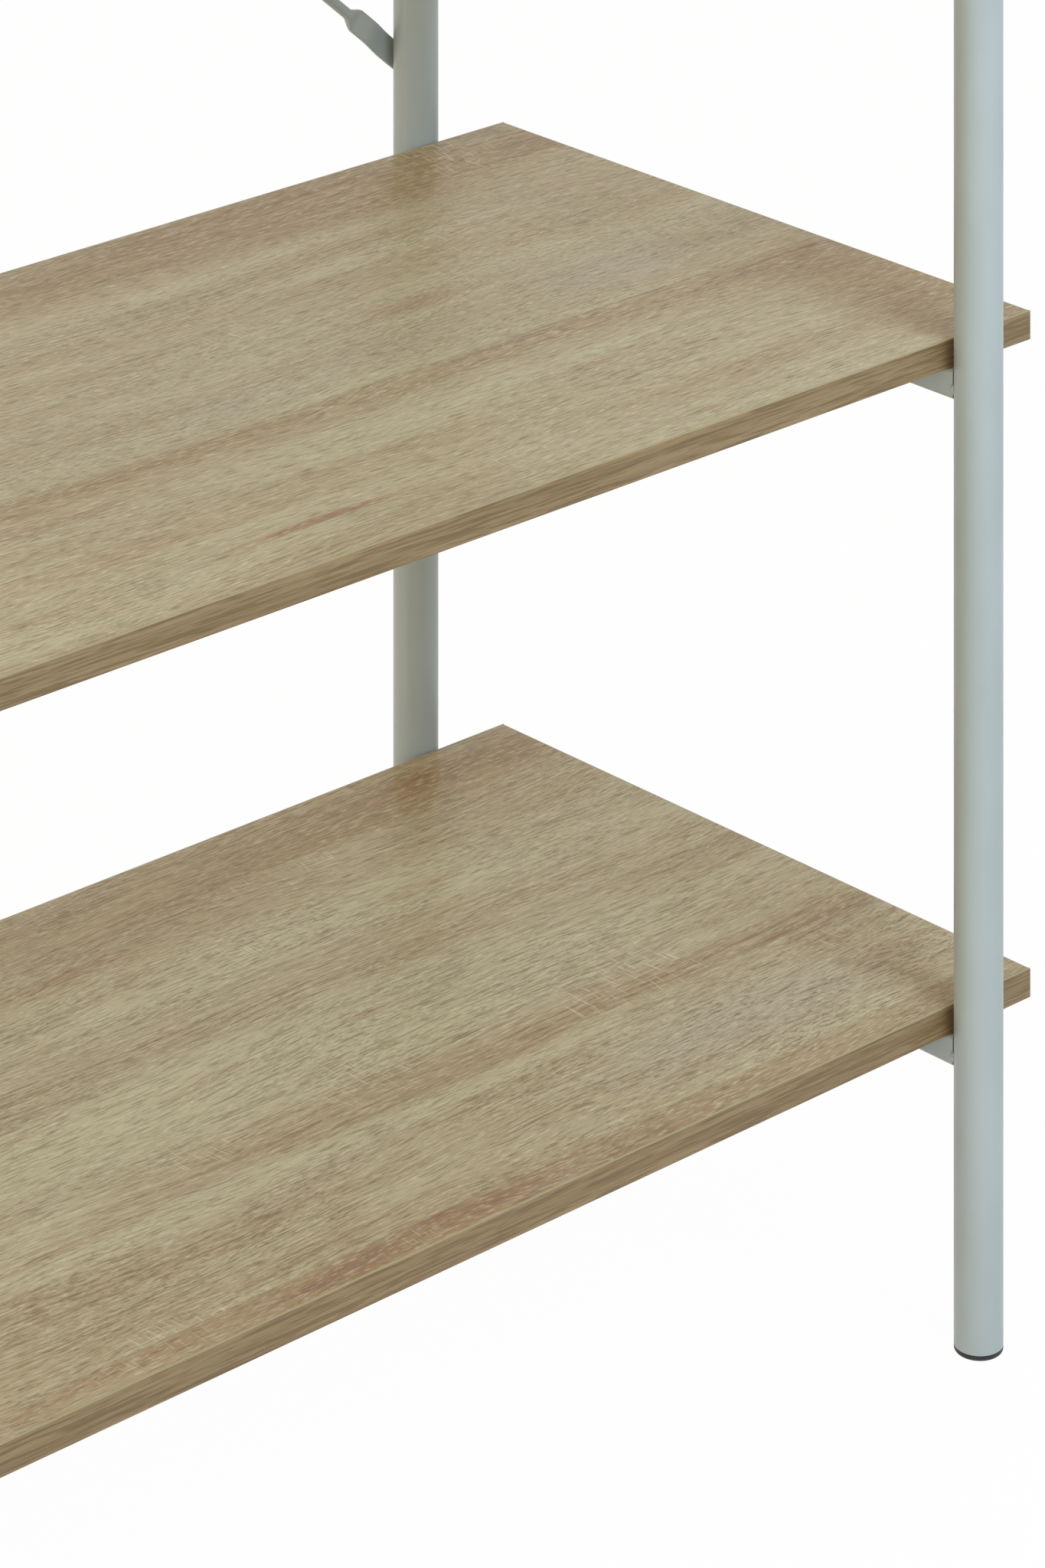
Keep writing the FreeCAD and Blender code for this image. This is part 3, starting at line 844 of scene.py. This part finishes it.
@dataclass
class Posts:
    """The four upright tubes, open at both ends for their plugs."""

    radius: float = 12.5
    wall: float = 1.2
    lip: float = 0.3
    lip_steps: int = 4
    rounds: int = 120
    names: tuple[str, ...] = (
        "post_front_left",
        "post_front_right",
        "post_rear_left",
        "post_rear_right",
    )

    def build(self, finish: bpy.types.Material) -> None:
        """Builds and dresses the posts.

        A thin upright outline of the wall, its lips rounded, is carried round the post's axis.

        Args:
            finish: The coat.
        """
        for name in self.names:
            low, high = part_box(name)
            wall = rounded_loop(self.wall / 2, (high.z - low.z) / MM / 2, self.lip, self.lip_steps) * MM
            outline = wall + ((self.radius - self.wall / 2) * MM, (low.z + high.z) / 2)
            centre = self.axis(name)
            mesh = surface(name, revolve(outline, centre, self.rounds))
            even_flats(place(f"{name}_tube", mesh, finish, "white_powder_coat", (name,)))

    @staticmethod
    def axis(name: str) -> tuple[float, float]:
        """Gives the X and Y of a post's axis, from the middle of its CAD box."""
        low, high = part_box(name)
        return ((low.x + high.x) / 2, (low.y + high.y) / 2)


@dataclass
class Rails:
    """The square tubes under the boards, one at each end of each tier, coped to fit the round posts."""

    size: float = 15.0
    wall: float = 1.2
    rounding: float = 2.0
    cope_radius: float = 13.1
    tiers: int = TIERS
    flats: int = 11

    @property
    def names(self) -> tuple[str, ...]:
        """The rails' CAD nodes."""
        return tuple(f"rail_{side}_{tier + 1}" for tier in range(self.tiers) for side in ("left", "right"))

    def build(self, finish: bpy.types.Material) -> None:
        """Builds and dresses the rails.

        The tube's outer and inner outlines are carried along Y. At each end a point stops where it meets
        an upright cylinder round the post: the post's Y less the root of the radius squared less the
        point's own distance from the rail's middle squared.

        Args:
            finish: The coat.
        """
        half = self.size / 2
        hollow = half - self.wall
        outer = rounded_loop(half, half, self.rounding, flats=self.flats)
        inner = rounded_loop(hollow, hollow, self.rounding - self.wall, flats=self.flats)
        front_post = Posts.axis("post_front_left")[1]
        rear_post = Posts.axis("post_rear_left")[1]
        for name in self.names:
            low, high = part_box(name)
            middle = np.array([(low.x + high.x) / 2, (low.z + high.z) / 2])
            walls = []
            for outline, ends in ((outer, (End.FRONT, End.REAR)), (inner, (End.REAR, End.FRONT))):
                cope = np.sqrt(self.cope_radius**2 - outline[:, 0] ** 2) * MM
                spot = outline * MM + middle
                for end in ends:
                    y = front_post + cope if end is End.FRONT else rear_post - cope
                    walls.append(np.stack([spot[:, 0], y, spot[:, 1]], axis=-1))
            mesh = surface(name, np.stack(walls)[None])
            even_flats(place(f"{name}_tube", mesh, finish, "white_powder_coat", (name,)))


@dataclass
class Plugs:
    """The moulded plugs in the posts' ends: glides at the floor, caps at the top."""

    radius: float = 12.5
    flange: float = 3.0
    rounding: float = 1.8
    edge: float = 0.35
    stem_radius: float = 11.2
    stem: float = 16.0
    stem_wall: float = 2.0
    rounds: int = 96
    steps: int = 12
    edge_steps: int = 5

    def outline(self) -> np.ndarray:
        """Outlines half a glide from its axis, round under its flange, up its hollow stem and back.

        The outer edge below is a quarter circle of the rounding, and the one above one of the edge.

        Returns:
            Radii and heights in mm, from pole to pole.
        """
        swing = np.linspace(-np.pi / 2, 0.0, self.steps)
        below = np.stack([np.cos(swing), 1 + np.sin(swing)], axis=1) * self.rounding
        below[:, 0] += self.radius - self.rounding
        lift = np.linspace(0.0, np.pi / 2, self.edge_steps)
        above = np.stack([np.cos(lift), np.sin(lift) - 1], axis=1) * self.edge
        above += (self.radius - self.edge, self.flange)
        top = self.flange + self.stem
        bore_radius = self.stem_radius - self.stem_wall
        stem = [
            (self.stem_radius, self.flange),
            (self.stem_radius, top - self.edge),
            (self.stem_radius - self.edge, top),
            (bore_radius, top),
            (bore_radius, self.flange),
            (0.0, self.flange),
        ]
        return np.concatenate([[(0.0, 0.0)], below, above, stem])

    def build(self, finish: bpy.types.Material) -> None:
        """Builds and dresses the eight plugs: the outline carried round each post's axis, upside down on top.

        Args:
            finish: The plastic.
        """
        outline = self.outline() * MM
        for post in Posts.names:
            corner = post.removeprefix("post_")
            for name, upward in ((f"foot_glide_{corner}", 1.0), (f"post_cap_{corner}", -1.0)):
                low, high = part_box(name)
                base = low.z if upward > 0 else high.z
                shaped = outline * (1.0, upward) + (0.0, base)
                mesh = surface(name, revolve(shaped, Posts.axis(post), self.rounds), True, False)
                place(f"{name}_plug", mesh, finish, "black_plastic", (name,))


@dataclass
class Braces:
    """The two crossed rods on the back, their ends hammered flat, stepped and screwed to the rear posts."""

    radius: float = 3.0
    tab_width: float = 13.0
    tab_thickness: float = 2.2
    tab_length: float = 46.0
    shoulder: float = 9.0
    crank_start: float = 14.0
    crank_run: float = 22.0
    hole_radius: float = 3.1
    nut_flange: float = 11.0
    round_power: float = 2.0
    flat_power: float = 9.0
    lead: float = 20.0
    drill_half: float = 6.0
    sharp_angle: float = 50.0
    around: int = 40
    hole_rounds: int = 48
    stations: tuple[int, ...] = (14, 6, 12, 5, 16)

    def build(self, finish: bpy.types.Material) -> None:
        """Builds and dresses the rods.

        Args:
            finish: The coat.
        """
        for name, falls in (("brace_rod_front", 1.0), ("brace_rod_rear", -1.0)):
            grid, holes = self.rod(name, falls)
            mesh = surface(name, grid, False, True)
            piece = place(f"{name}_bar", mesh, finish, "white_powder_coat", (name,))
            bore(piece, holes)
            piece.data.set_sharp_from_angle(angle=math.radians(self.sharp_angle))

    def rod(self, name: str, falls: float) -> tuple[np.ndarray, np.ndarray]:
        """Works out one rod and the drills of its two holes.

        Along the rod, a section is a superellipse: width times the signed power 2 / n of cos t, thickness
        times that of sin t. With the distance inside the nearer hole, the width goes smoothly from the
        tab's to the rod's over the shoulder, and past the hole it is a circle's. Thickness and n change
        over the same shoulder, and a smooth step over the crank sets the tab off the rod's axis.

        Args:
            name: The rod's CAD node.
            falls: 1 for a rod that falls to the right, -1 to the left.

        Returns:
            The rod's grid of points and the drills' grids.
        """
        low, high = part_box(name)
        span = Posts.axis("post_rear_right")[0] - Posts.axis("post_rear_left")[0]
        screws_low, screws_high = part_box("brace_screws")
        middle_z = (screws_low.z + screws_high.z) / 2
        nut_low, nut_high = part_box("brace_rivet_nuts")
        drop = (nut_high.z - nut_low.z) - self.nut_flange * MM
        length = math.hypot(span, drop) / MM
        tab_end = self.tab_width / 2
        post_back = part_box("post_rear_left")[1].y
        tab_y = post_back + self.tab_thickness * MM / 2
        rod_y = low.y + self.radius * MM if falls > 0 else high.y - self.radius * MM
        crank_end = self.crank_start + self.crank_run
        marks = (0.0, self.crank_start, crank_end, self.tab_length, self.tab_length + self.shoulder)
        tip, *counts = self.stations
        parts = [-tab_end * np.cos(np.linspace(0.0, np.pi / 2, tip))]
        for start, stop, count in zip(marks, marks[1:], counts):
            parts.append(np.linspace(start, stop, count)[1:])
        near = np.concatenate([*parts, [marks[-1] + self.lead, length / 2]])
        inside = np.concatenate([near, near[-2::-1]])
        along = np.concatenate([near, length - near[-2::-1]]) - length / 2
        rise = smooth((inside - self.tab_length) / self.shoulder)
        width = tab_end + (self.radius - tab_end) * rise
        width = np.where(inside < 0, np.sqrt(np.maximum(tab_end**2 - inside**2, 0.0)), width)
        thin = self.tab_thickness / 2
        depth = thin + (self.radius - thin) * rise
        power = self.flat_power + (self.round_power - self.flat_power) * rise
        off = (1 - smooth((inside - self.crank_start) / self.crank_run)) * (tab_y - rod_y)
        turn = np.linspace(0.0, 2 * np.pi, self.around, endpoint=False)
        cos, sin = np.cos(turn), np.sin(turn)
        bend = 2 / power[:, None]
        across = width[:, None] * MM * np.sign(cos) * np.abs(cos) ** bend
        out = depth[:, None] * MM * np.sign(sin) * np.abs(sin) ** bend
        run = np.array([span, -falls * drop]) / math.hypot(span, drop)
        side = np.array([-run[1], run[0]])
        x = along[:, None] * MM * run[0] + across * side[0]
        z = along[:, None] * MM * run[1] + across * side[1] + middle_z
        y = rod_y + off[:, None] + out
        grid = np.stack([x, y, z], axis=-1)[None]
        corners = np.array([(0.0, -1.0), (1.0, -1.0), (1.0, 1.0), (0.0, 1.0)])
        drill = revolve(corners * (self.hole_radius, self.drill_half) * MM, (0.0, 0.0), self.hole_rounds)
        drill = drill[..., [0, 2, 1]]
        fall = falls * drop / 2
        ends = np.array([(-span / 2, tab_y, middle_z + fall), (span / 2, tab_y, middle_z - fall)])
        return grid, drill + ends[:, None, None, :]


def smooth(part: np.ndarray) -> np.ndarray:
    """Eases from 0 to 1 with the part of the way: three times its square less twice its cube."""
    held = np.clip(part, 0.0, 1.0)
    return held * held * (3.0 - 2.0 * held)


@dataclass
class Welds:
    """The tack welds at the rails' ends: a bead on each side of a rail and a sag below it."""

    bead: tuple[float, float, float] = (1.8, 1.7, 2.6)
    bead_rise: float = 5.4
    sag: tuple[float, float, float] = (4.0, 1.7, 2.2)
    bite: float = 0.35
    sag_bite: float = 0.3
    sag_rise: float = 0.9
    ripple: float = 0.07
    ripples: int = 4
    rows: int = 19
    around: int = 14

    def build(self, rails: Rails, finish: bpy.types.Material) -> None:
        """Builds and dresses every weld as one piece.

        A bead is an ellipsoid, centre plus half sizes times a unit sphere, whose radius swells and shrinks
        as a cosine along its axis where the welder's hand has moved on. A side bead's axis is upright and
        a sag's lies across the rail.

        Args:
            rails: The rails that it joins.
            finish: The coat.
        """
        polar = np.linspace(0.0, np.pi, self.rows)
        turn = np.linspace(0.0, 2 * np.pi, self.around, endpoint=False)
        swell = 1 + self.ripple * np.cos(2 * np.pi * self.ripples * np.linspace(0.0, 1.0, self.rows))
        ring = np.sin(polar) * swell
        upright = np.stack(
            [
                np.outer(ring, np.cos(turn)),
                np.outer(ring, np.sin(turn)),
                np.outer(np.cos(polar), np.ones_like(turn)),
            ],
            axis=-1,
        )
        lying = upright[..., [2, 1, 0]]
        half = rails.size / 2
        gap = np.sqrt(rails.cope_radius**2 - half**2) - self.bite
        under = rails.cope_radius - self.sag_bite
        shells = []
        for name in rails.names:
            low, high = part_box(name)
            x = (low.x + high.x) / 2
            for post, end in (("post_front_left", End.FRONT), ("post_rear_left", End.REAR)):
                post_y = Posts.axis(post)[1]
                beside = post_y - end.value * gap * MM
                for side in (-1.0, 1.0):
                    centre = (x + side * half * MM, beside, low.z + self.bead_rise * MM)
                    shells.append(upright * np.array(self.bead) * MM + centre)
                below = (x, post_y - end.value * under * MM, low.z + self.sag_rise * MM)
                shells.append(lying * np.array(self.sag) * MM + below)
        mesh = surface("tack_welds", np.stack(shells), False, True)
        place("tack_weld_beads", mesh, finish, "white_powder_coat", ("tack_welds",))


@dataclass
class Shelves:
    """The five boards and their glued edging, which keep their CAD shape."""

    tiers: int = TIERS

    def dress(self, top: bpy.types.Material, width: bpy.types.Material, depth: bpy.types.Material) -> None:
        """Gives the boards and their edging their finishes.

        Args:
            top: The boards' laminate.
            width: The edging whose grain runs along the width.
            depth: The edging whose grain runs along the depth.
        """
        for tier in range(1, self.tiers + 1):
            dress(f"shelf_board_{tier}", top)
            for side in ("front", "rear"):
                dress(f"edge_band_{side}_{tier}", width)
            for side in ("left", "right"):
                dress(f"edge_band_{side}_{tier}", depth)


@dataclass
class Fasteners:
    """The screws and rivet nuts, which keep their CAD shape."""

    names: tuple[str, ...] = ("brace_rivet_nuts", "brace_screws", "shelf_screws")

    def dress(self, finish: bpy.types.Material) -> None:
        """Gives the fasteners their plating."""
        for name in self.names:
            dress(name, finish)


@dataclass
class Lamp:
    """One soft box: where it hangs, what it points at, its side in metres and its power in watts.

    It lights the object and isn't mirrored in it, so that the boards don't flare in a flat view.
    """

    name: str
    place: tuple[float, float, float]
    aim: tuple[float, float, float]
    side: float
    power: float
    colour: str = WHITE

    def hang(self) -> None:
        """Adds the lamp to the scene, turned so that its face points at its aim."""
        light = bpy.data.lights.new(self.name, "AREA")
        light.size = self.side
        light.energy = self.power
        light.color = linear(self.colour)[:3]
        lamp = bpy.data.objects.new(self.name, light)
        bpy.context.scene.collection.objects.link(lamp)
        lamp.location = self.place
        lamp.visible_glossy = False
        way = np.array(self.aim) - np.array(self.place)
        lamp.rotation_euler = (
            math.atan2(math.hypot(way[0], way[1]), -way[2]),
            0.0,
            math.atan2(-way[0], way[1]),
        )


@dataclass
class Studio:
    """The pale floor, the white surround and the soft box."""

    floor_side: float = 14.0
    floor_white: float = 0.98
    floor_colour: str = "#f4f4f4"
    surround: float = 0.40
    surround_left: float = 1.06
    surround_tint: str = "#fff1d3"
    lamps: tuple[Lamp, ...] = field(
        default_factory=lambda: (
            Lamp("key", (0.1, -2.6, 2.4), (0.1, 0.0, 0.4), 1.4, 57.0, "#cbe9ff"),
        )
    )

    def build(self) -> None:
        """Sets the floor, the surround and the lamps."""
        self._surround()
        self._floor()
        for lamp in self.lamps:
            lamp.hang()
        bpy.context.scene.view_settings.view_transform = "Standard"

    @staticmethod
    def _shown(tree: bpy.types.NodeTree) -> bpy.types.NodeSocket:
        """Gives 1 for a ray that shows the surround: from the camera, or by gloss or glass."""
        path = add_node(tree, "ShaderNodeLightPath").outputs
        shown = path["Is Camera Ray"]
        for ray in ("Is Glossy Ray", "Is Transmission Ray"):
            either = {0: shown, 1: path[ray]}
            shown = add_node(tree, "ShaderNodeMath", either, operation="MAXIMUM").outputs[0]
        return shown

    def _surround(self) -> None:
        """Makes a world that shows as white, and whose fill light is stronger from the left."""
        world = bpy.data.worlds.new("white_surround")
        world.use_nodes = True
        tree = world.node_tree
        tree.nodes.clear()
        way = add_node(tree, "ShaderNodeTexCoord").outputs["Generated"]
        across = add_node(tree, "ShaderNodeSeparateXYZ", {0: way}).outputs[0]
        left = self.surround + self.surround_left
        fade = {0: across, 1: -1.0, 2: 0.0, 3: left, 4: self.surround}
        level = add_node(tree, "ShaderNodeMapRange", fade)
        filling = {"Color": linear(self.surround_tint), "Strength": level.outputs[0]}
        fill = add_node(tree, "ShaderNodeBackground", filling)
        white = add_node(tree, "ShaderNodeBackground", {"Color": linear(WHITE), "Strength": 1.0})
        both = {0: self._shown(tree), 1: fill.outputs[0], 2: white.outputs[0]}
        mix = add_node(tree, "ShaderNodeMixShader", both)
        add_node(tree, "ShaderNodeOutputWorld", {"Surface": mix.outputs[0]})
        bpy.context.scene.world = world

    def _floor(self) -> None:
        """Makes the floor: white board that shows mostly as white, and keeps a faint shadow."""
        half = self.floor_side / 2
        side = np.linspace(-half, half, 3)
        x, y = np.meshgrid(side, side)
        grid = np.stack([x, y, np.zeros_like(x)], axis=-1)[None]
        mesh = surface("floor", grid, False, False)
        floor = bpy.data.objects.new("floor", mesh)
        bpy.context.scene.collection.objects.link(floor)
        material = new_material("white_floor_board")
        tree = material.node_tree
        lit = add_node(tree, "ShaderNodeBsdfDiffuse", {"Color": linear(self.floor_colour)})
        white = add_node(tree, "ShaderNodeEmission", {"Color": linear(WHITE), "Strength": 1.0})
        part = {0: self._shown(tree), 1: self.floor_white}
        share = add_node(tree, "ShaderNodeMath", part, operation="MULTIPLY")
        both = {0: share.outputs[0], 1: lit.outputs[0], 2: white.outputs[0]}
        mix = add_node(tree, "ShaderNodeMixShader", both)
        add_node(tree, "ShaderNodeOutputMaterial", {"Surface": mix.outputs[0]})
        mesh.materials.append(material)


@dataclass
class ViewCamera:
    """The photograph's view: a camera with an upright picture plane, so that the posts stay upright in it.

    The lens looks down, and its picture plane stays upright, as a shift lens does. A shift that large
    would follow the camera into other views, so a stretched mount leans the picture plane instead: the
    mount's Y axis halves the angle between straight up and the line back from the picture's middle, its Z
    axis is shortened by the tangent of half that angle, and the camera sits in it turned by 45 degrees.
    """

    stand: tuple[float, float, float] = (-1.93096, -2.34927, 1.63963)
    heading: float = 0.743897
    picture: tuple[int, int] = (1365, 2048)
    upright_focus: float = 8067.5
    horizon_row: float = -2485.1
    film: float = 36.0
    far: float = 100.0

    def set_up(self) -> None:
        """Adds the mount and the camera, and makes the camera the scene's own."""
        height = self.picture[1]
        fall = (height / 2 - self.horizon_row) / self.upright_focus
        half_angle = (math.pi / 2 - math.atan(fall)) / 2
        mount = bpy.data.objects.new("camera_mount", None)
        mount.location = self.stand
        mount.rotation_euler = (math.pi / 2 + half_angle, 0.0, -self.heading)
        mount.scale = (1.0, 1.0, math.tan(half_angle))
        lens = bpy.data.cameras.new("photograph_view")
        lens.sensor_width = self.film
        lens.lens = self.upright_focus * math.hypot(1.0, fall) / height * self.film
        lens.clip_end = self.far
        camera = bpy.data.objects.new("photograph_view", lens)
        camera.parent = mount
        camera.rotation_euler = (-math.pi / 4, 0.0, 0.0)
        for thing in (mount, camera):
            bpy.context.scene.collection.objects.link(thing)
        bpy.context.scene.camera = camera


def main() -> None:
    """Builds the unit's sub-assemblies in order, then the studio and the camera."""
    logging.basicConfig(level=logging.INFO, format="%(name)s %(message)s")
    coat = PowderCoat().material()
    plastic = BlackPolymer().material()
    rails = Rails()
    Posts().build(coat)
    rails.build(coat)
    Welds().build(rails, coat)
    Braces().build(coat)
    Plugs().build(plastic)
    Shelves().dress(
        OakLaminate().material(),
        OakEdging(GrainRun.ALONG_WIDTH).material(),
        OakEdging(GrainRun.ALONG_DEPTH).material(),
    )
    Fasteners().dress(ZincPlate().material())
    Studio().build()
    ViewCamera().set_up()
    bpy.context.view_layer.update()


if __name__ == "__main__":
    main()
